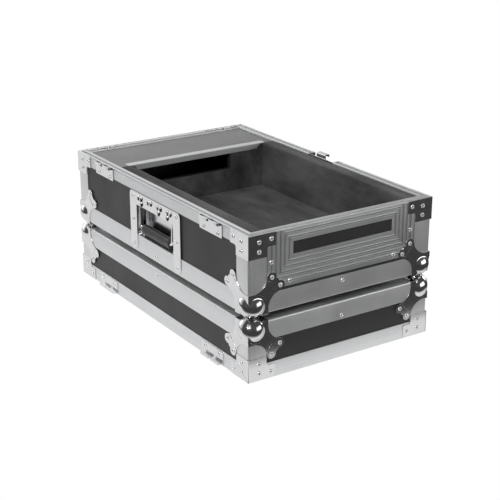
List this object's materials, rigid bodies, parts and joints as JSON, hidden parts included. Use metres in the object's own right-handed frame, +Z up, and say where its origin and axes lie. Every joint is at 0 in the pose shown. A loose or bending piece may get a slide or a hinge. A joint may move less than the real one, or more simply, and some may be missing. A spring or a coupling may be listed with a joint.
{
  "type": "mixer flight case",
  "caption": "Open road case for a mixer: a foam-lined tray with a front frame, side handle and latch, standing on its upturned lid, ball corner on ball corner.",
  "frame": {"origin": "on the floor under the middle of the case", "axes": "+Z up, the front face with the ribbed frame towards -Y, the handle side towards -X"},
  "size_m": [0.3955, 0.621, 0.2665],
  "materials": {
    "laminate": "black laminated plywood",
    "edging": "mill aluminium, lightly brushed",
    "steel": "bright nickel-plated pressed steel",
    "frame": "ribbed anodised aluminium",
    "foam": "black foam with a soft nap",
    "wood": "plain plywood edge",
    "cover": "satin grey sheet",
    "grip": "black moulded rubber"
  },
  "bodies": {
    "lid": {"lid_top_panel": "laminate", "lid_side_walls": "laminate", "lid_end_walls": "laminate", "lid_edge_extrusions": "edging", "lid_corner_angles": "edging", "lid_rim_extrusions": "edging", "lid_ball_corners": "steel", "lid_corner_braces": "steel", "lid_hinge_hooks": "steel", "lid_latch_keeper": "steel", "lid_top_foam": "foam", "lid_side_foam": "foam", "lid_rivets": "steel"},
    "tray": {"tray_floor_panel": "laminate", "tray_left_wall": "laminate", "tray_right_wall": "laminate", "tray_front_wall": "laminate", "tray_rear_wall": "laminate", "tray_edge_extrusions": "edging", "tray_corner_angles": "edging", "tray_rim_extrusions": "edging", "tray_ball_corners": "steel", "tray_corner_braces": "steel", "tray_hinge_loops": "steel", "rim_keepers": "steel", "frame_top_rail": "frame", "frame_bottom_rail": "frame", "frame_stiles": "frame", "side_foam": "foam", "front_foam": "foam", "floor_foam": "foam", "divider_wall": "laminate", "divider_facing": "foam", "cover_ledges": "wood", "handle_plate": "steel", "handle_dish": "steel", "latch_dish": "steel", "tray_rivets": "steel", "fitting_rivets": "steel"},
    "cover": {"cover_panel": "cover", "cover_strip": "edging"},
    "bail": {"handle_bail": "steel", "handle_grip": "grip"},
    "key": {"latch_key": "steel"},
    "wing_front": {"latch_wing_front": "steel"},
    "wing_rear": {"latch_wing_rear": "steel"},
    "hook": {"latch_hook": "steel"}
  },
  "joints": [
    {"name": "tray_lift", "type": "slide", "parent": "lid", "child": "tray", "axis": [0, 0, 1], "range_m": [0, 0.3]},
    {"name": "cover_lift", "type": "slide", "parent": "tray", "child": "cover", "axis": [0, 0, 1], "range_m": [0, 0.15]},
    {"name": "bail_swing", "type": "hinge", "parent": "tray", "child": "bail", "pos_m": [-0.185, 0, 0.2075], "axis": [0, 1, 0], "range_deg": [0, 90], "stiffness_Nm_per_rad": 0.12, "springref_deg": -11.46},
    {"name": "key_turn", "type": "hinge", "parent": "tray", "child": "key", "pos_m": [0.183, 0, 0.2165], "axis": [1, 0, 0], "range_deg": [0, 180]},
    {"name": "hook_slide", "type": "slide", "parent": "tray", "child": "hook", "axis": [0, 0, 1], "range_m": [-0.012, 0]},
    {"name": "wing_front_fold", "type": "hinge", "parent": "key", "child": "wing_front", "pos_m": [0.184, -0.006, 0.2165], "axis": [0, 0, 1], "range_deg": [0, 90]},
    {"name": "wing_rear_fold", "type": "hinge", "parent": "key", "child": "wing_rear", "pos_m": [0.184, 0.006, 0.2165], "axis": [0, 0, -1], "range_deg": [0, 90]}
  ],
  "couplings": [
    {"joint": "hook_slide", "follows": "key_turn", "m_per_rad": -0.0038197}
  ]
}
